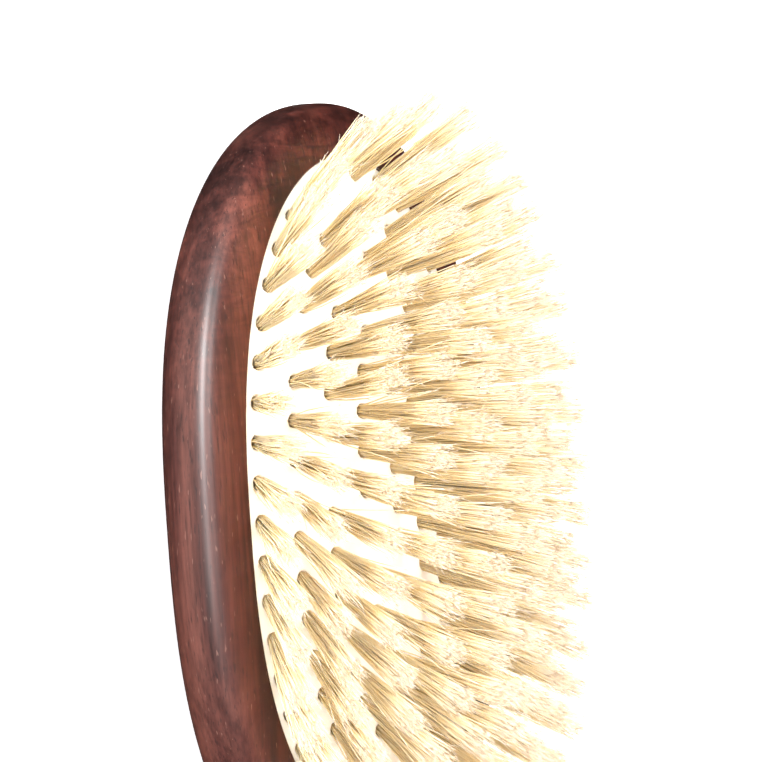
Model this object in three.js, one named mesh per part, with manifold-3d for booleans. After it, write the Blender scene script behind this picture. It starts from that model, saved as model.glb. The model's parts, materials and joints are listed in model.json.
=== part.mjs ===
// Oval cushion hair brush: a one-piece wooden head and handle, a domed rubber cushion held in a
// groove of the head, and concentric rings of bristle tufts drawn through the cushion.
// Millimetres. X runs across the head, Y towards its tip, Z away from the back. The origin is the
// centre of the small flat that the head's back rests on.
import * as THREE from "three";
import { mergeVertices } from "three/addons/utils/BufferGeometryUtils.js";
import Module from "manifold-3d";

// Heights below are first given from the rim plane, which lies this far above the back flat.
const RIM_HEIGHT = 18.35;

// Plan outlines: |x / half width|^2 + |y / length|^2.6 = 1, longer to the tip than to the heel.
const LENGTH_POWER = 2.6;
const HEAD = { halfWidth: 36.2, tip: 63.3, heel: 57 };
const CUSHION = { halfWidth: 29, tip: 55, heel: 50 };

// Head cross-section: a squarish shoulder above its widest line and a rounder back below it.
const WIDEST_LINE = -6.4;
const SHOULDER_RISE = 7.2;
const SHOULDER_POWER = 4;
const TIP_SHOULDER_POWER = 4.3;
const BACK_DEPTH = 12.3;
const BACK_POWER = 2.6;

// Handle: a slim neck, a fuller grip and a rounded end.
const NECK_START = -36;
const HANDLE_DROP_START = -50;
const NECK_MIDDLE = -76;
const GRIP_MIDDLE = -134;
const HANDLE_END = -174;
const END_ROUNDING = 26;
const END_POWER = 2.2;
const HANDLE_SIZES = {
  widestLine: -10,
  neck: { halfWidth: 9.5, rise: 6.2, depth: 7.2 },
  grip: { halfWidth: 13.2, rise: 7.4, depth: 8.6 },
  topPower: 2.3,
  backPower: 2.3,
};

// Shares of a length at which the body's sections stand, closer together where it curves more.
const TIP_SHARES = [0.997, 0.97, 0.92, 0.85, 0.76, 0.64, 0.5, 0.32, 0.1];
const END_SHARES = [0.1, 0.45, 0.75, 0.93, 0.995];
const STATION_STEP = { sweep: 5, elsewhere: 10 };

// Recess: a mouth of the cushion's outline, a groove under its lip and an air chamber below.
const GROOVE = { top: -2.9, bottom: -5.2, reach: 2.2 };
const CHAMBER = { floor: -8, inset: 2.5 };

// Rubber cushion: its edge sits just below the rim, and its flange fills the groove.
const GAP = 0.3;
const EDGE_DROP = 1;
const DOME_HEIGHT = 6.8;
const DOME_POWER = 1.4;
const RUBBER = 1.5;
const FLANGE_REACH = GROOVE.reach - GAP;
const VENT = { y: -44.1, radius: 0.8 };
const CUSHION_INSETS = [29, 25.7, 19.1, 12.5, 5.9];

// Tufts: rings that follow the cushion's outline, one crown row along its middle.
const RING_NAMES = ["outer", "second", "third", "inner"];
const RUNS_PER_RING = [6, 5, 4, 3];
const FIRST_INSET = 2.6;
const RING_STEP = 6.6;
const PITCH = 6;
const ROW_PHASE = 1.6;
const TUFT = { length: 18.6, holeRadius: 0.98, tipRadius: 1.7, sides: 6 };
const ROOT_DEPTH = 3.8;
const STRIP = { width: 3.4, thickness: 0.4, overhang: 1.6 };

// Each tuft leans outwards, in proportion to its distance from the middle line and from a line
// across the head. Tufts near the cushion's edge lean more along the brush.
const LEAN_ACROSS = { perMillimetre: 0.036, limit: 1.44 };
const LEAN_ALONG = { perMillimetre: 0.0085, centre: 16.5, edgeGrowth: 2, span: 40, limit: 0.75 };

// Sides of each curved surface.
const BODY_SIDES = 24;
const RECESS_SIDES = 44;
const CUSHION_SIDES = 36;
const HOLE_SIDES = 4;
const VENT_SIDES = 8;

// How far one cutting solid runs into the next, so that their joint leaves no skin between them.
const OVERRUN = 0.5;

const wasm = await Module();
wasm.setup();

function solidFrom(geometry) {
  const bare = geometry.clone();
  bare.deleteAttribute("normal");
  bare.deleteAttribute("uv");
  const merged = mergeVertices(bare, 1e-4);
  const vertProperties = Float32Array.from(merged.attributes.position.array);
  const triVerts = Uint32Array.from(merged.index.array);
  return new wasm.Manifold(new wasm.Mesh({ numProp: 3, vertProperties, triVerts }));
}

function geometryFrom(solid) {
  const mesh = solid.getMesh();
  const geometry = new THREE.BufferGeometry();
  geometry.setAttribute("position", new THREE.BufferAttribute(mesh.vertProperties, 3));
  geometry.setIndex(new THREE.BufferAttribute(mesh.triVerts, 1));
  geometry.computeVertexNormals();
  return geometry;
}

// Skin over a row of closed rings with equal counts. A ring of one point closes that end of it,
// and any other end stays open.
function skin(rings) {
  const positions = [];
  const triangle = (a, b, c) => {
    for (const p of [a, b, c]) positions.push(p.x, p.y, p.z);
  };
  for (let r = 0; r < rings.length - 1; r++) {
    const near = rings[r];
    const far = rings[r + 1];
    const count = Math.max(near.length, far.length);
    for (let i = 0; i < count; i++) {
      const j = (i + 1) % count;
      if (near.length > 1) triangle(near[i], near[j], far[far.length > 1 ? j : 0]);
      if (far.length > 1) triangle(near[near.length > 1 ? i : 0], far[j], far[i]);
    }
  }
  const geometry = new THREE.BufferGeometry();
  geometry.setAttribute("position", new THREE.Float32BufferAttribute(positions, 3));
  return geometry;
}

const signedPower = (value, power) => Math.sign(value) * Math.abs(value) ** power;
const smoothStep = (from, to, value) => THREE.MathUtils.smoothstep(value, from, to);
const mix = THREE.MathUtils.lerp;
const fullTurn = (i, count) => (i / count) * 2 * Math.PI;

// Rise of a rounded profile that is full at 0 and falls to nothing at 1.
const rounded = (share, power) => Math.max(0, 1 - Math.abs(share) ** power) ** (1 / power);

// A point of a plan outline drawn in by inset. The turn runs from 0 at +X through the tip.
function outlinePoint(outline, inset, turn) {
  const across = Math.cos(turn);
  const along = Math.sin(turn);
  const length = along > 0 ? outline.tip : outline.heel;
  const x = (outline.halfWidth - inset) * across;
  const y = (length - inset) * signedPower(along, 2 / LENGTH_POWER);
  return new THREE.Vector2(x, y);
}

function outlineShape(outline, inset, segments) {
  const points = [];
  for (let i = 0; i < segments; i++) {
    points.push(outlinePoint(outline, inset, fullTurn(i, segments)));
  }
  return new THREE.Shape(points);
}

function prism(outline, inset, segments, bottom, top) {
  const shape = outlineShape(outline, inset, segments);
  const geometry = new THREE.ExtrudeGeometry(shape, { depth: top - bottom, bevelEnabled: false });
  return geometry.translate(0, 0, bottom);
}

// ---- wooden body ----

function headHalfWidth(y) {
  const length = y > 0 ? HEAD.tip : HEAD.heel;
  return HEAD.halfWidth * Math.max(0, 1 - Math.abs(y / length) ** LENGTH_POWER) ** 0.5;
}

function handleSize(key, y) {
  const { neck, grip } = HANDLE_SIZES;
  return mix(neck[key], grip[key], smoothStep(0, NECK_MIDDLE - GRIP_MIDDLE, NECK_MIDDLE - y));
}

// Half the body's width: the head's oval, a sweep from it down to the neck, then the handle.
function bodyHalfWidth(y) {
  if (y >= NECK_START) return headHalfWidth(y);
  if (y <= NECK_MIDDLE) return handleSize("halfWidth", y);
  const span = NECK_START - NECK_MIDDLE;
  const t = (NECK_START - y) / span;
  const start = headHalfWidth(NECK_START);
  const slopeStep = 0.1;
  const startSlope = ((headHalfWidth(NECK_START - slopeStep) - start) / slopeStep) * span;
  const ease = t * t * (3 - 2 * t);
  return start * (1 - ease) + startSlope * t * (1 - t) ** 2 + HANDLE_SIZES.neck.halfWidth * ease;
}

function bodySection(y) {
  const intoHandle = smoothStep(0, HANDLE_DROP_START - NECK_MIDDLE, HANDLE_DROP_START - y);
  const endShare = Math.max(0, HANDLE_END + END_ROUNDING - y) / END_ROUNDING;
  const endRounding = rounded(endShare, END_POWER);
  const halfWidth = bodyHalfWidth(y) * endRounding;
  const tipShare = Math.max(0, y) / HEAD.tip;
  const headRise = SHOULDER_RISE * rounded(tipShare, TIP_SHOULDER_POWER);
  const headDepth = BACK_DEPTH * rounded(tipShare, BACK_POWER);
  const rise = mix(headRise, handleSize("rise", y), intoHandle);
  const depth = mix(headDepth, handleSize("depth", y), intoHandle);
  const middle = mix(WIDEST_LINE, HANDLE_SIZES.widestLine, intoHandle);
  const topPower = mix(SHOULDER_POWER, HANDLE_SIZES.topPower, intoHandle);
  const backPower = mix(BACK_POWER, HANDLE_SIZES.backPower, intoHandle);
  const ring = [];
  for (let i = 0; i < BODY_SIDES; i++) {
    const turn = fullTurn(i, BODY_SIDES);
    const power = Math.sin(turn) > 0 ? topPower : backPower;
    const height = (Math.sin(turn) > 0 ? rise : depth) * endRounding;
    const x = halfWidth * signedPower(Math.cos(turn), 2 / power);
    const z = middle + height * signedPower(Math.sin(turn), 2 / power);
    ring.push(new THREE.Vector3(x, y, z));
  }
  return ring;
}

// Places along the body where its sections stand, from the tip of the head to the handle's end.
function bodyStations() {
  const stations = TIP_SHARES.map((share) => HEAD.tip * share);
  let y = -STATION_STEP.elsewhere;
  while (y > HANDLE_END + END_ROUNDING) {
    stations.push(y);
    y -= y < NECK_START && y > NECK_MIDDLE ? STATION_STEP.sweep : STATION_STEP.elsewhere;
  }
  return [...stations, ...END_SHARES.map((share) => HANDLE_END + END_ROUNDING * (1 - share))];
}

function woodBody() {
  const tipPole = [new THREE.Vector3(0, HEAD.tip, WIDEST_LINE)];
  const endPole = [new THREE.Vector3(0, HANDLE_END, HANDLE_SIZES.widestLine)];
  const body = solidFrom(skin([tipPole, ...bodyStations().map(bodySection), endPole]));

  const belowFlat = new THREE.BoxGeometry(4 * HEAD.halfWidth, 4 * Math.abs(HANDLE_END), RIM_HEIGHT);
  belowFlat.translate(0, 0, -1.5 * RIM_HEIGHT);
  const mouth = prism(CUSHION, 0, RECESS_SIDES, GROOVE.top - OVERRUN, -GROOVE.top);
  const groove = prism(CUSHION, -GROOVE.reach, RECESS_SIDES, GROOVE.bottom, GROOVE.top);
  const chamber = prism(CUSHION, CHAMBER.inset, RECESS_SIDES, CHAMBER.floor, GROOVE.bottom + OVERRUN);
  const recess = solidFrom(mouth).add(solidFrom(groove)).add(solidFrom(chamber));
  return body.subtract(solidFrom(belowFlat)).subtract(recess);
}

// ---- tufts ----

// Height of the cushion's skin above the rim plane, at an inset from its edge.
function domeHeight(inset) {
  const share = 1 - inset / CUSHION.halfWidth;
  return DOME_HEIGHT * (1 - share ** DOME_POWER) - EDGE_DROP;
}

const softLimit = (value, limit) => value / Math.hypot(1, value / limit);

// A tuft's slope across and along the brush. edgeShare is 0 on the crown and 1 at the edge.
function lean({ place, edgeShare }) {
  const across = LEAN_ACROSS.perMillimetre * place.x;
  const off = place.y - LEAN_ALONG.centre;
  const growth = 1 + edgeShare * (LEAN_ALONG.edgeGrowth + Math.abs(off) / LEAN_ALONG.span);
  const along = LEAN_ALONG.perMillimetre * off * growth;
  const limited = [softLimit(across, LEAN_ACROSS.limit), softLimit(along, LEAN_ALONG.limit)];
  return new THREE.Vector3(...limited, 1);
}

// Places of one quarter of a ring, from the widest line to its tip or heel. The pitch is eased so
// that the last tuft stands on the middle line or half a pitch short of it.
function quarterPlaces(inset, towards, phase) {
  const steps = 200;
  const points = [];
  for (let i = 0; i <= steps; i++) {
    points.push(outlinePoint(CUSHION, inset, towards * fullTurn(i, 4 * steps)));
  }
  const curve = new THREE.SplineCurve(points);
  curve.arcLengthDivisions = 2 * steps;
  const length = curve.getLength();
  const pitches = Math.round((2 * (length - phase)) / PITCH) / 2;
  const pitch = (length - phase) / pitches;
  const places = [];
  for (let i = 0; i <= pitches; i++) {
    places.push(curve.getPointAt(Math.min(1, (phase + i * pitch) / length)));
  }
  return places;
}

// One closed ring of tuft places, mirrored about the middle line, in order around the cushion.
function ringPlaces(ring) {
  const inset = FIRST_INSET + ring * RING_STEP;
  const phase = ROW_PHASE + (ring % 2 ? PITCH / 2 : 0);
  const tipwards = quarterPlaces(inset, 1, phase);
  const heelwards = quarterPlaces(inset, -1, PITCH - phase);
  const right = [...heelwards.reverse(), ...tipwards];
  const offMiddle = right.filter((place) => place.x > TUFT.holeRadius);
  const left = offMiddle.map((place) => new THREE.Vector2(-place.x, place.y));
  return [...right, ...left.reverse()];
}

function crownPlaces() {
  const inset = CUSHION.halfWidth;
  const heel = inset - CUSHION.heel - ROW_PHASE;
  const tip = CUSHION.tip - inset;
  const places = [];
  for (let y = ROW_PHASE - 4 * PITCH; y < tip; y += PITCH) {
    if (y > heel) places.push(new THREE.Vector2(0, y));
  }
  return places;
}

// Corners of a tuft's section at a distance along its axis from the cushion's skin.
function tuftCorners(tuft, along, sides, clearance = 0) {
  const { place, surface } = tuft;
  const axis = lean(tuft).normalize();
  const sideways = new THREE.Vector3(0, 1, 0).cross(axis).normalize();
  const forwards = axis.clone().cross(sideways);
  const growth = (TUFT.tipRadius - TUFT.holeRadius) / TUFT.length;
  const radius = (TUFT.holeRadius + growth * along + clearance) / Math.cos(Math.PI / sides);
  const corners = [];
  for (let i = 0; i < sides; i++) {
    const turn = fullTurn(i + 0.5, sides);
    const corner = new THREE.Vector3(place.x, place.y, surface).addScaledVector(axis, along);
    corner.addScaledVector(sideways, radius * Math.cos(turn));
    corner.addScaledVector(forwards, radius * Math.sin(turn));
    corners.push(corner);
  }
  return corners;
}

// The same corners slid along the axis onto a level plane, where the tuft's root ends.
function rootCorners(tuft, height, sides, clearance = 0) {
  const axis = lean(tuft).normalize();
  const corners = tuftCorners(tuft, (height - tuft.surface) / axis.z, sides, clearance);
  for (const corner of corners) corner.addScaledVector(axis, (height - corner.z) / axis.z);
  return corners;
}

// Outline of the flat anchor strip behind the cushion that holds a run of tufts root to root.
function stripOutline(run, stripTop) {
  const roots = run.map((tuft) => {
    const direction = lean(tuft);
    const drop = stripTop - tuft.surface;
    const root = new THREE.Vector2(direction.x, direction.y).multiplyScalar(drop);
    return root.add(tuft.place);
  });
  const beyond = (end, inner) => {
    const outwards = end.clone().sub(inner).normalize();
    return end.clone().addScaledVector(outwards, STRIP.overhang);
  };
  const firstEnd = beyond(roots[0], roots[1]);
  const lastEnd = beyond(roots.at(-1), roots.at(-2));
  const line = [firstEnd, ...roots.slice(1, -1), lastEnd];
  const leftSide = [];
  const rightSide = [];
  line.forEach((point, i) => {
    const ahead = line[Math.min(i + 1, line.length - 1)];
    const behind = line[Math.max(i - 1, 0)];
    const heading = ahead.clone().sub(behind).normalize();
    const normal = new THREE.Vector2(-heading.y, heading.x).multiplyScalar(STRIP.width / 2);
    leftSide.push(point.clone().add(normal));
    rightSide.push(point.clone().sub(normal));
  });
  return [...rightSide, ...leftSide.reverse()];
}

// A run of tufts standing on its anchor strip, as one closed skin: the strip's top face is
// pierced by the root of each tuft, and the tuft's sides rise from there to its tip.
function tuftRun(run) {
  const stripTop = run[0].surface - ROOT_DEPTH;
  const outline = stripOutline(run, stripTop);
  const atHeight = (points, z) => points.map((point) => new THREE.Vector3(point.x, point.y, z));
  const top = atHeight(outline, stripTop);
  const bottom = atHeight(outline, stripTop - STRIP.thickness);
  const roots = run.map((tuft) => rootCorners(tuft, stripTop, TUFT.sides));
  const positions = [...skin([bottom, top]).attributes.position.array];
  const cover = (points, holes, triangles, flip) => {
    const all = [...points, ...holes.flat()];
    for (const [a, b, c] of triangles) {
      for (const index of flip ? [a, c, b] : [a, b, c]) positions.push(...all[index].toArray());
    }
  };
  const holeOutlines = roots.map((ring) => ring.map(({ x, y }) => new THREE.Vector2(x, y)));
  cover(top, roots, THREE.ShapeUtils.triangulateShape(outline, holeOutlines), false);
  cover(bottom, [], THREE.ShapeUtils.triangulateShape(outline, []), true);
  run.forEach((tuft, i) => {
    const tip = tuftCorners(tuft, TUFT.length, TUFT.sides);
    positions.push(...skin([roots[i], tip]).attributes.position.array);
    const flatTip = tip.map((_, j) => j).slice(1, -1);
    cover(tip, [], flatTip.map((j) => [0, j, j + 1]), false);
  });
  const geometry = new THREE.BufferGeometry();
  geometry.setAttribute("position", new THREE.Float32BufferAttribute(positions, 3));
  return solidFrom(geometry);
}

// What one tuft takes out of the rubber: a square-sided hole along its axis.
function tuftHole(tuft) {
  const root = rootCorners(tuft, tuft.surface - ROOT_DEPTH + GAP, HOLE_SIDES, GAP);
  const mouth = tuftCorners(tuft, RUBBER, HOLE_SIDES, GAP);
  const middleOf = (ring) => [ring[0].clone().add(ring[2]).multiplyScalar(0.5)];
  return solidFrom(skin([middleOf(root), root, mouth, middleOf(mouth)]));
}

// The tufts of one ring, whose feet are all at one inset and so at one height.
function tuftsAt(inset, places) {
  const surface = domeHeight(inset);
  const edgeShare = 1 - inset / CUSHION.halfWidth;
  return places.map((place) => ({ place, surface, edgeShare }));
}

const tuftRings = RING_NAMES.map((name, ring) => {
  const tufts = tuftsAt(FIRST_INSET + ring * RING_STEP, ringPlaces(ring));
  return { name, runs: RUNS_PER_RING[ring], tufts };
});
tuftRings.push({ name: "crown", runs: 1, tufts: tuftsAt(CUSHION.halfWidth, crownPlaces()) });

// ---- rubber cushion ----

// The cushion cut from its crown outwards: over the dome, round the flange and back underneath.
function cushionSection(turn) {
  const top = [...CUSHION_INSETS, GAP].map((inset) => [inset, domeHeight(inset)]);
  const inner = GAP + RUBBER;
  const flangeTop = GROOVE.top - GAP;
  const flangeBottom = GROOVE.bottom + GAP;
  const edge = [
    [GAP, flangeTop],
    [-FLANGE_REACH, flangeTop],
    [-FLANGE_REACH, flangeBottom],
    [inner, flangeBottom],
  ];
  const underInsets = [inner, ...CUSHION_INSETS.slice(0, -1).reverse()];
  const under = underInsets.map((inset) => [inset, domeHeight(inset) - RUBBER]);
  return [...top, ...edge, ...under].map(([inset, z]) => {
    const { x, y } = outlinePoint(CUSHION, inset, turn);
    return new THREE.Vector3(x, y, z);
  });
}

function rubberCushion() {
  const sections = [];
  for (let i = 0; i < CUSHION_SIDES; i++) sections.push(cushionSection(fullTurn(i, CUSHION_SIDES)));
  const rings = sections[0].map((_, point) => sections.map((section) => section[point]));
  let cushion = solidFrom(skin(rings.reverse()));
  for (const { tufts } of tuftRings) {
    for (const tuft of tufts) cushion = cushion.subtract(tuftHole(tuft));
  }
  const vent = new THREE.CylinderGeometry(VENT.radius, VENT.radius, DOME_HEIGHT, VENT_SIDES);
  return cushion.subtract(solidFrom(vent.rotateX(Math.PI / 2).translate(0, VENT.y, 0)));
}

// ---- assembly ----

const brush = new THREE.Group();
brush.position.z = RIM_HEIGHT;

function addPart(name, solid, material) {
  const mesh = new THREE.Mesh(geometryFrom(solid), material);
  mesh.name = name;
  brush.add(mesh);
}

const wood = { color: 0x7a3e32, roughness: 0.28, metalness: 0 };
const rubber = { color: 0xf6efe2, roughness: 0.55, metalness: 0 };
const bristle = { color: 0xf4e0b0, roughness: 0.6, metalness: 0 };

addPart("wood_body", woodBody(), new THREE.MeshStandardMaterial(wood));
addPart("rubber_cushion", rubberCushion(), new THREE.MeshStandardMaterial(rubber));

for (const { name, runs, tufts } of tuftRings) {
  const perRun = tufts.length / runs;
  for (let run = 0; run < runs; run++) {
    const own = tufts.slice(Math.round(run * perRun), Math.round((run + 1) * perRun));
    const label = runs > 1 ? `${name}_tufts_${run + 1}` : `${name}_tufts`;
    addPart(label, tuftRun(own), new THREE.MeshStandardMaterial(bristle));
  }
}

export default brush;
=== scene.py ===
import json
import math

import bmesh
import bpy
import numpy as np
from mathutils import Matrix, Vector

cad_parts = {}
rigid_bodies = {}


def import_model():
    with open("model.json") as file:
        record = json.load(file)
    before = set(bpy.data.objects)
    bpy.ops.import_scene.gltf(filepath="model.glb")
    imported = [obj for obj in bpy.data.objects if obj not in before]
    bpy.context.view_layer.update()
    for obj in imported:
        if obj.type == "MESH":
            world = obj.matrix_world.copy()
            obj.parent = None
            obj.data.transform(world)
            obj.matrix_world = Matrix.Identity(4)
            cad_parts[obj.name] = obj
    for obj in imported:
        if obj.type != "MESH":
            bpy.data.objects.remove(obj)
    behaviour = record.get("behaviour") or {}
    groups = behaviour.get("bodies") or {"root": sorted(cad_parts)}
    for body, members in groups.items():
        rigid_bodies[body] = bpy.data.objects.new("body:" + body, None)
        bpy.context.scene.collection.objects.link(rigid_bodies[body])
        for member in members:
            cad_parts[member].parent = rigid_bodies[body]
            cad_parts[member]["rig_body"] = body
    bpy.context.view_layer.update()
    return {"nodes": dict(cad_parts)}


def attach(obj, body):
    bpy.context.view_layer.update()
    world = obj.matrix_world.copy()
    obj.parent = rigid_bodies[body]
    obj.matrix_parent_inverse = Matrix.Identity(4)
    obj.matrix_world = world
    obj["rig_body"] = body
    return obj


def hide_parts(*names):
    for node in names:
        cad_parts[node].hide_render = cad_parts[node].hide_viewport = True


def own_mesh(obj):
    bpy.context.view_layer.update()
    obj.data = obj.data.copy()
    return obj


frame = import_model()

# An oval cushion hair brush lying on its back: a lacquered wooden body, a cream rubber cushion and
# tufts of natural bristle. Lengths below are millimetres in the model's own frame: X across the
# head, Y towards its tip, Z up from the back. Heights are given from the rim plane.
MM = 0.001
RIM_HEIGHT = 18.35

# Plan outlines, as half width, length to the tip and length to the heel.
LENGTH_POWER = 2.6
HEAD = (36.2, 63.3, 57.0)
CUSHION = (29.0, 55.0, 50.0)

# Head section: squarish shoulder above the widest line, rounder back below it.
WIDEST_LINE = -6.4
SHOULDER_RISE, SHOULDER_POWER, TIP_SHOULDER_POWER = 7.2, 4.0, 4.3
BACK_DEPTH, BACK_POWER = 12.3, 2.6

# Handle.
NECK_START, HANDLE_DROP_START, NECK_MIDDLE, GRIP_MIDDLE = -36.0, -50.0, -76.0, -134.0
HANDLE_END, END_ROUNDING, END_POWER = -174.0, 26.0, 2.2
NECK = {"half_width": 9.5, "rise": 6.2, "depth": 7.2}
GRIP = {"half_width": 13.2, "rise": 7.4, "depth": 8.6}
HANDLE_WIDEST_LINE, HANDLE_POWER = -10.0, 2.3

# Rim, recess and the cushion that sits in it.
RIM_RADIUS = 0.4
GROOVE_TOP, GROOVE_BOTTOM, GROOVE_REACH = -2.9, -5.2, 2.2
CHAMBER_FLOOR, CHAMBER_INSET = -8.0, 2.5
EDGE_DROP, DOME_HEIGHT, DOME_POWER, RUBBER = 1.0, 6.8, 1.4, 1.5
VENT = (0.0, -44.1, 0.8)

# Tufts.
TUFT_LENGTH, ROOT_DEPTH = 18.6, 3.8
BRISTLES_PER_TUFT = 110
BUNDLE_RADIUS = 0.93
STRAY_SHARE, SHORT_SHARE = 0.1, 0.12
HOLE_RADIUS, HOLE_DEPTH = 1.08, 1.7
LIP_HEIGHT, LIP_WIDTH = 0.08, 0.34

# A bristle's rings as shares of its length, and its thickness at each of them.
RING_SHARES = np.array([0.0, 0.18, 0.42, 0.7, 1.0])
RING_THICKNESS = np.array([1.0, 1.0, 0.95, 0.82, 0.5])
HAIR_SIDES = 3

# Each bristle's tip is split into finer hairs.
FLAGS_PER_TIP = 3
FLAG_RADII = (0.04, 0.032, 0.012)


# ---- small helpers ----

def smooth_step(low, high, value):
    t = np.clip((value - low) / (high - low), 0.0, 1.0)
    return t * t * (3 - 2 * t)


def mix(a, b, share):
    return a + (b - a) * share


def signed_power(value, power):
    return np.sign(value) * np.abs(value) ** power


def rounded(share, power):
    """Rise of a rounded profile that is full at 0 and falls to nothing at 1."""
    return max(0.0, 1 - abs(share) ** power) ** (1 / power)


def outline_point(outline, inset, turn):
    """Point of a plan outline drawn in by inset. The turn runs from 0 at +X through the tip."""
    half_width, tip, heel = outline
    along = np.sin(turn)
    length = np.where(along > 0, tip, heel)
    x = (half_width - inset) * np.cos(turn)
    y = (length - inset) * signed_power(along, 2 / LENGTH_POWER)
    return x, y


def even_turns(outline, inset, start, end, count):
    """Turns that step evenly along an outline between two turns."""
    fine = np.linspace(start, end, 40 * count)
    x, y = outline_point(outline, inset, fine)
    run = np.concatenate([[0], np.cumsum(np.hypot(np.diff(x), np.diff(y)))])
    return np.interp(np.linspace(0, run[-1], count), run, fine)


def to_frame(points):
    """Points in millimetres from the rim plane, as metres in the frame."""
    points = np.asarray(points, float)
    return (points + np.array([0, 0, RIM_HEIGHT])) * MM


def grid_faces(rows, columns, first=0, closed=False):
    """Quads between neighbouring rows of equal length."""
    wrap = columns if closed else columns - 1
    r, c = np.meshgrid(np.arange(rows - 1), np.arange(wrap), indexing="ij")
    a = first + r * columns + c
    b = first + r * columns + (c + 1) % columns
    return np.stack([a, b, b + columns, a + columns], -1).reshape(-1, 4)


def mesh_object(name, points, faces, weld=None, sharp_angle=None, values=()):
    """A smooth-shaded piece from arrays, with a value at each point for every name in values.

    Points closer than weld become one.
    """
    data = bpy.data.meshes.new(name)
    data.from_pydata([tuple(p) for p in points], [], [tuple(f) for f in faces])
    for key, value in dict(values).items():
        attribute = data.attributes.new(key, "FLOAT", "POINT")
        attribute.data.foreach_set("value", np.asarray(value, np.float32))
    if weld:
        work = bmesh.new()
        work.from_mesh(data)
        bmesh.ops.remove_doubles(work, verts=work.verts, dist=weld)
        bmesh.ops.dissolve_degenerate(work, edges=work.edges, dist=weld)
        bmesh.ops.recalc_face_normals(work, faces=work.faces)
        work.to_mesh(data)
        work.free()
    data.polygons.foreach_set("use_smooth", [True] * len(data.polygons))
    if sharp_angle:
        data.set_sharp_from_angle(angle=sharp_angle)
    piece = bpy.data.objects.new(name, data)
    bpy.context.scene.collection.objects.link(piece)
    return piece


# ---- materials ----

class Nodes:
    """A material's node tree, with its nodes added one call at a time."""

    def __init__(self, name):
        self.material = bpy.data.materials.new(name)
        self.material.use_nodes = True
        self.tree = self.material.node_tree
        self.shader = self.tree.nodes["Principled BSDF"]

    def add(self, kind, inputs=(), **settings):
        node = self.tree.nodes.new("ShaderNode" + kind)
        for key, value in settings.items():
            setattr(node, key, value)
        for key, value in dict(inputs).items():
            self.feed(node, key, value)
        return node

    def feed(self, node, key, value):
        """Links an output into an input, or sets the input's own value."""
        if isinstance(value, bpy.types.NodeSocket):
            self.tree.links.new(value, node.inputs[key])
        else:
            node.inputs[key].default_value = value

    def math(self, operation, a, b=0.0):
        return self.add("Math", {0: a, 1: b}, operation=operation).outputs[0]

    def stretched(self, scale):
        """Object coordinates in millimetres, multiplied by scale along each axis."""
        place = self.add("TexCoord").outputs["Object"]
        scale = [factor / MM for factor in scale]
        return self.add("Mapping", {"Vector": place, "Scale": scale}).outputs["Vector"]

    def noise(self, scale, detail=4.0, roughness=0.5, distortion=0.0):
        inputs = {
            "Vector": self.stretched(scale), "Scale": 1.0, "Detail": detail,
            "Roughness": roughness, "Distortion": distortion,
        }
        return self.add("TexNoise", inputs).outputs["Fac"]

    def ramp(self, value, *stops):
        """Colour ramp from (place, colour) stops; a plain number is a grey."""
        node = self.add("ValToRGB", {"Fac": value})
        marks = node.color_ramp.elements
        while len(marks) < len(stops):
            marks.new(0.5)
        for mark, (place, colour) in zip(marks, stops):
            grey = isinstance(colour, (int, float))
            mark.position = place
            mark.color = (colour, colour, colour, 1) if grey else (*colour, 1)
        return node.outputs["Color"]

    def blend(self, share, a, b, mode="MIX"):
        node = self.add("Mix", data_type="RGBA", blend_type=mode)
        self.feed(node, 0, share)
        self.feed(node, 6, a if isinstance(a, bpy.types.NodeSocket) else (*a, 1))
        self.feed(node, 7, b if isinstance(b, bpy.types.NodeSocket) else (*b, 1))
        return node.outputs[2]

    def bump(self, height, strength, distance):
        inputs = {"Height": height, "Strength": strength, "Distance": distance * MM}
        return self.add("Bump", inputs).outputs["Normal"]

    def attribute(self, name):
        return self.add("Attribute", attribute_name=name).outputs["Fac"]

    def finish(self, **sockets):
        for key, value in sockets.items():
            self.feed(self.shader, key.replace("_", " "), value)
        return self.material


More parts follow.
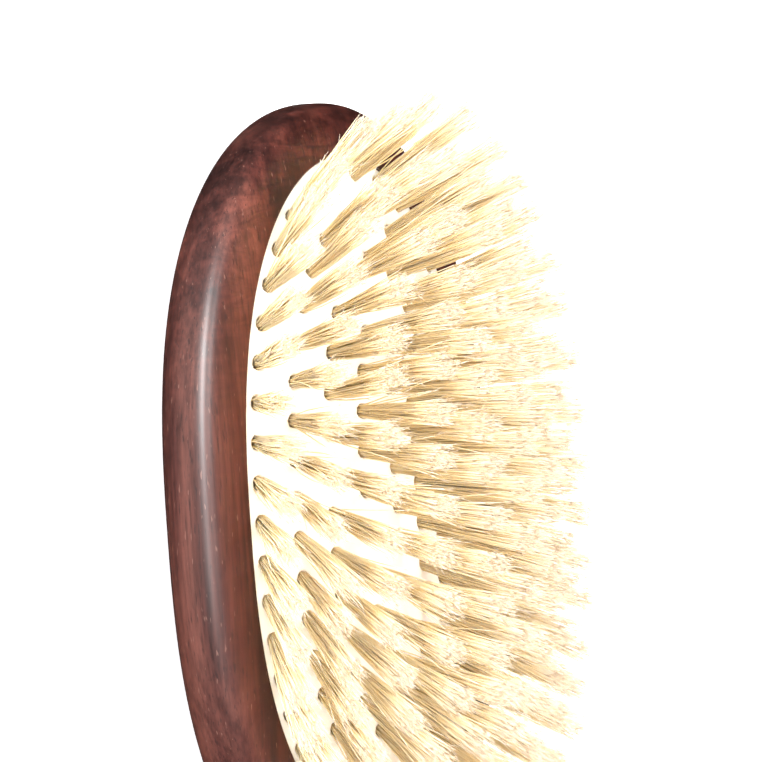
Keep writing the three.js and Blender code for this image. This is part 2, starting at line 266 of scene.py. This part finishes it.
def wood_material():
    """Reddish-brown figured hardwood under gloss lacquer, its grain running along the brush."""
    n = Nodes("lacquered_wood")
    streaks = n.noise((0.16, 0.012, 0.16), detail=5, roughness=0.55, distortion=0.5)
    fibres = n.noise((1.7, 0.05, 1.7), detail=5, roughness=0.65)
    pores = n.noise((3.2, 0.28, 3.2), detail=2, roughness=0.5)
    flecks = n.noise((2.6, 0.45, 2.6), detail=1)
    curl = n.noise((0.09, 0.33, 0.2), detail=4, roughness=0.6, distortion=1.4)

    dark, red, light = (0.033, 0.006, 0.0042), (0.061, 0.0116, 0.0073), (0.1, 0.0245, 0.0152)
    body = n.ramp(streaks, (0.36, dark), (0.5, red), (0.66, light))
    grain = n.ramp(fibres, (0.32, 0.62), (0.5, 1.0), (0.7, 1.32))
    colour = n.blend(1.0, body, grain, "MULTIPLY")

    along = n.add("SeparateXYZ", {0: n.stretched((1, 1, 1))}).outputs["Y"]
    tipwards = n.add("MapRange", {0: along, 1: 15.0, 2: 50.0, 3: 0.15, 4: 1.0}).outputs[0]
    flame = n.ramp(curl, (0.38, 0.55), (0.5, 1.0), (0.62, 1.5))
    colour = n.blend(n.math("MULTIPLY", tipwards, 0.75), colour,
                     n.blend(1.0, colour, flame, "MULTIPLY"))
    dashes = n.ramp(pores, (0.62, 0.0), (0.68, 1.0))
    colour = n.blend(n.math("MULTIPLY", dashes, 0.65), colour, (0.022, 0.006, 0.005))
    specks = n.ramp(flecks, (0.7, 0.0), (0.76, 1.0))
    colour = n.blend(n.math("MULTIPLY", specks, 0.4), colour, (0.27, 0.12, 0.085))

    relief = n.math("SUBTRACT", fibres, n.math("MULTIPLY", dashes, 0.6))
    roughness = n.math("ADD", n.math("MULTIPLY", fibres, 0.2), 0.38)
    return n.finish(
        Base_Color=colour, Roughness=roughness, Normal=n.bump(relief, 0.25, 0.05),
        Specular_IOR_Level=0.35, Coat_Weight=0.5, Coat_Roughness=0.36, Coat_IOR=1.45,
    )


def rubber_material():
    """Smooth cream rubber, a little uneven in tone and with a faint moulded texture, darkened to
    olive by painted shade inside the tuft holes.
    """
    n = Nodes("cream_rubber")
    clouds = n.noise((0.09, 0.07, 0.09), detail=3)
    grit = n.noise((5.5, 5.5, 5.5), detail=2)
    colour = n.ramp(clouds, (0.35, (0.90, 0.84, 0.73)), (0.65, (0.96, 0.93, 0.87)))
    # Painted shade: a dark olive painted into each tuft hole, where the skin sinks.
    colour = n.blend(n.attribute("sink_and_painted_shade"), colour, (0.42, 0.30, 0.13))
    return n.finish(
        Base_Color=colour, Roughness=n.ramp(grit, (0.3, 0.42), (0.7, 0.55)),
        Normal=n.bump(grit, 0.12, 0.03), Specular_IOR_Level=0.35,
        Subsurface_Weight=0.12, Subsurface_Radius=(1.0, 0.75, 0.5), Subsurface_Scale=0.0012,
    )


def bristle_material():
    """Natural bristle: cream along its length and white at the tip, with painted shade making it a
    deeper honey colour towards the root.
    """
    n = Nodes("natural_bristle")
    along = n.attribute("along")
    tone = n.attribute("tone")
    # Painted shade: the deeper amber at the root stands in for the shade deep inside each tuft.
    shade = n.ramp(
        along, (0.0, (0.98, 0.68, 0.31)), (0.3, (0.99, 0.74, 0.37)),
        (0.8, (0.99, 0.76, 0.41)), (1.0, (0.99, 0.80, 0.56)),
    )
    pale = n.blend(0.35, shade, (1.0, 0.86, 0.60))
    amber = n.blend(0.25, shade, (0.98, 0.58, 0.22))
    dull = n.ramp(tone, (0.0, 1.0), (0.3, 0.0))
    bright = n.ramp(tone, (0.6, 0.0), (1.0, 1.0))
    colour = n.blend(bright, n.blend(dull, shade, amber), pale)
    streak = n.noise((4.0, 4.0, 4.0), detail=2)
    return n.finish(
        Base_Color=n.blend(1.0, colour, n.ramp(streak, (0.3, 0.93), (0.7, 1.0)), "MULTIPLY"),
        Roughness=n.ramp(streak, (0.3, 0.4), (0.7, 0.55)), Specular_IOR_Level=0.35,
        Subsurface_Weight=0.5, Subsurface_Radius=(1.0, 0.75, 0.4), Subsurface_Scale=0.001,
    )


# ---- camera, lights and floor ----

def place_camera():
    """A long lens from the brush's left, with the tip of the head upwards in the picture."""
    target = Vector((5.1, 20.3, 18.9)) * MM
    back = Vector((-0.803, 0.0518, 0.5938)).normalized()
    upwards = Vector((0.0843, 0.9961, 0.0271))
    across = upwards.cross(back).normalized()
    data = bpy.data.cameras.new("camera")
    data.sensor_width = 36
    data.lens = 465.4
    data.clip_start, data.clip_end = 0.05, 50
    camera = bpy.data.objects.new("camera", data)
    turn = Matrix((across, back.cross(across), back)).transposed()
    camera.matrix_world = Matrix.Translation(target + back * 1.502) @ turn.to_4x4()
    bpy.context.scene.collection.objects.link(camera)
    bpy.context.scene.camera = camera


def add_light(name, direction, distance, size, power, glossy=True, diffuse=True):
    """A soft rectangle of light that faces the head from a direction, its length along Y."""
    direction = Vector(direction).normalized()
    across = Vector((0, 1, 0)).cross(direction).normalized()
    lengthwise = direction.cross(across)
    data = bpy.data.lights.new(name, "AREA")
    data.shape = "RECTANGLE"
    data.size, data.size_y = size
    data.energy = power
    light = bpy.data.objects.new(name, data)
    turn = Matrix((across, lengthwise, direction)).transposed()
    light.matrix_world = Matrix.Translation(direction * distance) @ turn.to_4x4()
    light.visible_camera = False
    light.visible_glossy = glossy
    light.visible_diffuse = diffuse
    bpy.context.scene.collection.objects.link(light)


def studio():
    """White surroundings that gloss doesn't mirror, and the soft boxes that it does."""
    scene = bpy.context.scene
    scene.view_settings.view_transform = "Standard"
    world = bpy.data.worlds.new("studio")
    world.use_nodes = True
    background = world.node_tree.nodes["Background"]
    background.inputs["Color"].default_value = (1, 1, 1, 1)
    background.inputs["Strength"].default_value = 1.45
    world.cycles_visibility.glossy = False
    scene.world = world
    add_light("side_stripe", (-0.94, 0.28, 0.11), 1.0, (0.21, 0.45), 21, diffuse=False)
    add_light("upper_stripe", (-0.7, 0.28, 0.66), 1.0, (0.14, 0.45), 6, diffuse=False)
    add_light("overhead", (0.15, 0.25, 1.0), 1.6, (1.0, 1.4), 18, glossy=False)
    add_light("front_fill", (-0.7, 0.1, 0.75), 1.8, (1.2, 1.2), 40, glossy=False)

    points = [(-9, -9, -0.0003), (9, -9, -0.0003), (9, 9, -0.0003), (-9, 9, -0.0003)]
    floor = mesh_object("floor", points, [(0, 1, 2, 3)])
    n = Nodes("pale_floor")
    speckle = n.noise((0.02, 0.02, 0.02), detail=2)
    floor.data.materials.append(n.finish(
        Base_Color=n.ramp(speckle, (0.3, 0.86), (0.7, 0.88)), Roughness=0.8,
        Emission_Color=(1, 1, 1, 1), Emission_Strength=0.75,
    ))
    floor.visible_glossy = False


# ---- wooden body ----

def head_half_width(y):
    """Half the head's width at y, from its plan outline."""
    length = HEAD[1] if y > 0 else HEAD[2]
    return HEAD[0] * max(0.0, 1 - abs(y / length) ** LENGTH_POWER) ** 0.5


def handle_size(key, y):
    """A size of the handle at y, between its neck and its grip."""
    return mix(NECK[key], GRIP[key], smooth_step(0, NECK_MIDDLE - GRIP_MIDDLE, NECK_MIDDLE - y))


def body_half_width(y):
    """The head's oval, a sweep from it down to the neck, then the handle."""
    if y >= NECK_START:
        return head_half_width(y)
    if y <= NECK_MIDDLE:
        return handle_size("half_width", y)
    span = NECK_START - NECK_MIDDLE
    t = (NECK_START - y) / span
    start = head_half_width(NECK_START)
    step = 0.1
    start_slope = (head_half_width(NECK_START - step) - start) / step * span
    ease = t * t * (3 - 2 * t)
    return start * (1 - ease) + start_slope * t * (1 - t) ** 2 + NECK["half_width"] * ease


def half_section(y, opening, count):
    """Right half of the body's section at y, from the opening's edge on top to the bottom."""
    into_handle = float(smooth_step(0, HANDLE_DROP_START - NECK_MIDDLE, HANDLE_DROP_START - y))
    end_rounding = rounded(max(0.0, HANDLE_END + END_ROUNDING - y) / END_ROUNDING, END_POWER)
    tip_share = max(0.0, y) / HEAD[1]
    head_rise = SHOULDER_RISE * rounded(tip_share, TIP_SHOULDER_POWER)
    head_depth = BACK_DEPTH * rounded(tip_share, BACK_POWER)
    rise = mix(head_rise, handle_size("rise", y), into_handle)
    depth = mix(head_depth, handle_size("depth", y), into_handle)
    half_width = body_half_width(y) * end_rounding
    middle = mix(WIDEST_LINE, HANDLE_WIDEST_LINE, into_handle)
    top_power = mix(SHOULDER_POWER, HANDLE_POWER, into_handle)
    back_power = mix(BACK_POWER, HANDLE_POWER, into_handle)

    open_share = min(1.0, opening / max(half_width, 1e-9))
    first = math.acos(open_share ** (top_power / 2))
    turn = np.concatenate([np.linspace(first, 0, 300), np.linspace(0, -math.pi / 2, 300)[1:]])
    power = np.where(turn > 0, top_power, back_power)
    height = np.where(turn > 0, rise, depth) * end_rounding
    x = half_width * np.cos(turn).clip(0) ** (2 / power)
    z = middle + height * signed_power(np.sin(turn), 2 / power)
    softness = 0.04
    z = softness * np.logaddexp(z / softness, -RIM_HEIGHT / softness)
    run = np.concatenate([[0], np.cumsum(np.hypot(np.diff(x), np.diff(z)))])
    if run[-1] < 1e-9:
        return np.repeat([[0.0, y, float(z[0])]], count, 0)
    even = np.linspace(0, run[-1], count)
    x, z = np.interp(even, run, x), np.interp(even, run, z)
    x[0] = opening
    x[-1] = 0
    return np.stack([x, np.full(count, y), z], 1)


def wooden_body():
    """The one-piece head and handle, with its rounded rim and the recess for the cushion."""
    half_count = 96
    turns = even_turns(CUSHION, -RIM_RADIUS, -math.pi / 2, math.pi / 2, 190)
    rim_x, rim_y = outline_point(CUSHION, -RIM_RADIUS, turns)
    rim_x[[0, -1]] = 0
    handle = np.arange(HANDLE_END + END_ROUNDING, rim_y[0] - 0.5, 1.0)
    end_turns = np.linspace(0, math.pi / 2, 26)[:-1]
    handle_end = HANDLE_END + END_ROUNDING * (1 - np.cos(end_turns))
    tip = rim_y[-1] + (HEAD[1] - rim_y[-1]) * np.sin(np.linspace(0, math.pi / 2, 22)[1:])
    stations = [(y, 0.0) for y in handle_end]
    stations += [(y, 0.0) for y in handle]
    stations += list(zip(rim_y, rim_x))
    stations += [(y, 0.0) for y in tip]
    rows = []
    for y, opening in stations:
        right = half_section(float(y), float(opening), half_count)
        left = right[-2::-1] * np.array([-1, 1, 1])
        rows.append(np.concatenate([right, left]))
    columns = len(rows[0])
    points = [np.concatenate(rows)]
    faces = [grid_faces(len(rows), columns)]

    first = len(handle_end) + len(handle)
    rim_heights = np.array([row[0, 2] for row in rows[first:first + len(turns)]])
    all_turns = np.concatenate([turns, math.pi - turns[-2:0:-1]])
    heights = np.concatenate([rim_heights, rim_heights[-2:0:-1]])
    rings = []
    for angle in np.linspace(0, math.pi / 2, 6):
        inset = -RIM_RADIUS * (1 - math.sin(angle))
        rings.append((inset, heights - RIM_RADIUS * (1 - math.cos(angle))))
    for inset, height in (
        (0, GROOVE_TOP), (-GROOVE_REACH, GROOVE_TOP), (-GROOVE_REACH, GROOVE_BOTTOM),
        (CHAMBER_INSET, GROOVE_BOTTOM), (CHAMBER_INSET, CHAMBER_FLOOR),
        (CUSHION[0] / 2, CHAMBER_FLOOR), (CUSHION[0], CHAMBER_FLOOR),
    ):
        rings.append((inset, np.full(len(all_turns), height)))
    loops = []
    for inset, height in rings:
        x, y = outline_point(CUSHION, inset, all_turns)
        x[[0, len(turns) - 1]] = 0
        loops.append(np.stack([x, y, height], 1))
    faces.append(grid_faces(len(loops), len(all_turns), len(points[0]), closed=True))
    points.append(np.concatenate(loops))
    body = mesh_object("wooden_body", to_frame(np.concatenate(points)), np.concatenate(faces),
                       weld=1e-6, sharp_angle=math.radians(50))
    body.data.materials.append(wood_material())
    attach(body, "brush_body")
    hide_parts("wood_body")
    return body


# ---- tufts ----

def middle_of(corners):
    """Mean place of some vertices, summed in index order so that it is the same each run."""
    in_order = sorted(corners, key=lambda corner: corner.index)
    return sum((corner.co for corner in in_order), Vector()) / len(in_order)


def tufts_of(node):
    """Foot on the cushion's skin and direction of each tuft of a CAD run, in millimetres."""
    work = bmesh.new()
    work.from_mesh(frame["nodes"][node].data)
    bmesh.ops.remove_doubles(work, verts=work.verts, dist=1e-6)
    work.verts.index_update()
    lowest = min(v.co.z for v in work.verts)
    above_skin = lowest + 2 * ROOT_DEPTH * MM
    waiting = {v for v in work.verts if v.co.z > above_skin}
    found = []
    while waiting:
        tip, roots, edge = set(), set(), [waiting.pop()]
        while edge:
            corner = edge.pop()
            tip.add(corner)
            for link in corner.link_edges:
                other = link.other_vert(corner)
                if other in waiting:
                    waiting.discard(other)
                    edge.append(other)
                elif other not in tip:
                    roots.add(other)
        roots = [v for v in roots if v.co.z <= above_skin]
        end, root = middle_of(tip), middle_of(roots)
        direction = (end - root).normalized()
        foot = end / MM - direction * TUFT_LENGTH - Vector((0, 0, RIM_HEIGHT))
        found.append((round(foot.y, 3), round(foot.x, 3), foot, direction))
    work.free()
    found.sort(key=lambda item: item[:2])
    return [(np.array(foot), np.array(direction)) for _, _, foot, direction in found]


def tubes(paths, radii, sides=HAIR_SIDES):
    """Vertices and faces of tapered hairs. paths is (hair, ring, 3), radii is (hair, ring)."""
    hairs, rings = radii.shape
    lengthwise = paths[:, -1] - paths[:, 0]
    lengthwise /= np.linalg.norm(lengthwise, axis=1, keepdims=True)
    across = np.cross(lengthwise, np.array([0.0, 1.0, 0.0]))
    across /= np.linalg.norm(across, axis=1, keepdims=True)
    upright = np.cross(lengthwise, across)
    turn = np.arange(sides) * 2 * math.pi / sides
    rim = (across[:, None] * np.cos(turn)[:, None] + upright[:, None] * np.sin(turn)[:, None])
    points = paths[:, :, None] + rim[:, None] * radii[:, :, None, None]
    per_hair = rings * sides
    side_quads = grid_faces(rings, sides, closed=True)
    starts = (np.arange(hairs) * per_hair)[:, None, None]
    quads = (side_quads[None] + starts).reshape(-1, 4)
    caps = np.array([[sides - 1 - i for i in range(sides)],
                     [per_hair - sides + i for i in range(sides)]])
    caps = (caps[None] + starts).reshape(-1, sides)
    return points.reshape(-1, 3), quads, caps


def bristle_run(name, node, body, seed):
    """A run of tufts: loose bristles that fan out from each hole, uneven and frayed at the tips."""
    rng = np.random.default_rng(seed)
    paths, radii, tones = [], [], []
    for foot, direction in tufts_of(node):
        count = BRISTLES_PER_TUFT
        across = np.cross([0, 1, 0], direction)
        across /= np.linalg.norm(across)
        upright = np.cross(direction, across)
        sway = rng.normal(0, 0.5, 2)
        angle = rng.uniform(0, 2 * math.pi, count)
        radius = np.sqrt(rng.uniform(0, 1, count))
        start = np.stack([np.cos(angle), np.sin(angle)], 1) * (radius * BUNDLE_RADIUS)[:, None]
        spread = rng.normal(0, 0.38, (count, 2))
        stray = rng.uniform(0, 1, count) < STRAY_SHARE
        spread[stray] *= 3.2
        end = start * rng.uniform(1.8, 2.6, (count, 1)) + spread + sway
        length = TUFT_LENGTH * rng.triangular(0.8, 0.98, 1.06, count)
        short = rng.uniform(0, 1, count) < SHORT_SHARE
        length[short] *= rng.uniform(0.55, 0.9, short.sum())
        bow = rng.normal(0, 0.22, (count, 2))
        rise = -ROOT_DEPTH + RING_SHARES[None] * (length[:, None] + ROOT_DEPTH)
        fan = np.clip(rise / TUFT_LENGTH, 0, 1)
        gather = np.where(rise < 0, 0.85, 1.0)
        plan = start[:, None] * (gather * (1 - fan))[:, :, None]
        plan += end[:, None] * fan[:, :, None]
        plan += bow[:, None] * np.sin(math.pi * RING_SHARES)[None, :, None]
        path = foot + rise[:, :, None] * direction
        path = path + plan[:, :, :1] * across + plan[:, :, 1:] * upright
        paths.append(path)
        thickness = rng.uniform(0.09, 0.13, (count, 1))
        radii.append(thickness * RING_THICKNESS)
        tones.append(np.clip(rng.normal(0.5, 0.22, count) + rng.normal(0, 0.08), 0, 1))
    paths, radii, tones = np.concatenate(paths), np.concatenate(radii), np.concatenate(tones)
    points, quads, caps = tubes(paths, radii)
    along = np.tile(np.repeat(RING_SHARES, HAIR_SIDES), len(paths))
    tone = np.repeat(tones, radii.shape[1] * HAIR_SIDES)

    last = np.repeat(paths[:, -1], FLAGS_PER_TIP, 0)
    heading = np.repeat(paths[:, -1] - paths[:, -2], FLAGS_PER_TIP, 0)
    heading /= np.linalg.norm(heading, axis=1, keepdims=True)
    reach = rng.uniform(0.5, 1.9, (len(last), 1))
    aside = rng.normal(0, 0.2, (len(last), 3)) * reach
    flag_paths = np.stack([last - heading * 0.4, last + heading * reach * 0.5 + aside * 0.35,
                           last + heading * reach + aside], 1)
    flag_radii = np.repeat([FLAG_RADII], len(last), 0)
    flag_points, flag_quads, flag_caps = tubes(flag_paths, flag_radii)
    flag_tone = np.repeat(tones, FLAGS_PER_TIP * len(FLAG_RADII) * HAIR_SIDES)
    shift = len(points)
    faces = [*quads, *caps, *(flag_quads + shift), *(flag_caps + shift)]
    run = mesh_object(name, to_frame(np.concatenate([points, flag_points])), faces, values={
        "along": np.concatenate([along, np.ones(len(flag_points))]),
        "tone": np.concatenate([tone, flag_tone]),
    })
    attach(run, body)
    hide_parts(node)
    return run


def all_bristles():
    """One piece for each run of tufts in the frame. It returns every tuft's foot."""
    material = bristle_material()
    feet = []
    runs = sorted(node for node in frame["nodes"] if "_tufts" in node)
    for seed, node in enumerate(runs):
        body = frame["nodes"][node]["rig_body"]
        piece = bristle_run(node.replace("tufts", "bristles"), node, body, seed)
        piece.data.materials.append(material)
        feet += [foot for foot, _ in tufts_of(node)]
    return np.array(feet)


# ---- rubber cushion ----

def dome_height(inset):
    """Height of the cushion's skin at an inset from its edge."""
    share = 1 - np.asarray(inset, float) / CUSHION[0]
    return DOME_HEIGHT * (1 - np.clip(share, 0, 1) ** DOME_POWER) - EDGE_DROP


def cushion(feet):
    """The domed rubber skin, with a lipped hole at every tuft, its flange and its underside."""
    columns = 760
    turns = even_turns(CUSHION, 6.0, 0, 2 * math.pi, columns + 1)[:-1]
    insets = np.concatenate([np.linspace(CUSHION[0], 1.6, 98), np.linspace(1.4, 0.12, 8)])
    rings = [(inset, float(dome_height(inset))) for inset in insets]
    flange = GROOVE_REACH - 0.3
    rings += [
        (0.12, GROOVE_TOP - 0.3), (-flange, GROOVE_TOP - 0.3), (-flange, GROOVE_BOTTOM + 0.3),
        (RUBBER, GROOVE_BOTTOM + 0.3),
    ]
    rings += [(inset, float(dome_height(inset)) - 2 * RUBBER) for inset in (2.5, 8, 14, 21, 29)]
    loops = []
    for inset, height in rings:
        x, y = outline_point(CUSHION, inset, turns)
        loops.append(np.stack([x, y, np.full(columns, height)], 1))
    top = len(insets)
    skin = np.concatenate(loops[:top])
    holes = [(foot[0], foot[1], HOLE_RADIUS, HOLE_DEPTH) for foot in feet] + [(*VENT, 2.2)]
    nearest = np.full(len(skin), 1e9)
    depth = np.zeros(len(skin))
    for x, y, radius, deep in holes:
        away = np.hypot(skin[:, 0] - x, skin[:, 1] - y) - radius
        closer = away < nearest
        nearest[closer] = away[closer]
        depth[closer] = deep
    # How far each point sinks into its hole; the same share marks the painted shade of the holes.
    sink_and_painted_shade = 1 - smooth_step(-0.22, 0.08, nearest)
    lip = LIP_HEIGHT * np.exp(-((nearest - 0.4) / LIP_WIDTH) ** 2)
    skin[:, 2] += lip - depth * sink_and_painted_shade
    points = np.concatenate([skin, *loops[top:]])
    faces = grid_faces(len(rings), columns, closed=True)
    # The sink share goes on the pad as an attribute, for the rubber's painted hole shade.
    sink_and_painted_shade = np.pad(sink_and_painted_shade, (0, len(points) - len(sink_and_painted_shade)))
    pad = mesh_object("rubber_pad", to_frame(points), faces, weld=1e-6,
                      sharp_angle=math.radians(70), values={"sink_and_painted_shade": sink_and_painted_shade})
    pad.data.materials.append(rubber_material())
    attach(pad, "brush_body")
    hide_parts("rubber_cushion")
    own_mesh(pad)
    return pad


place_camera()
studio()
wooden_body()
cushion(all_bristles())
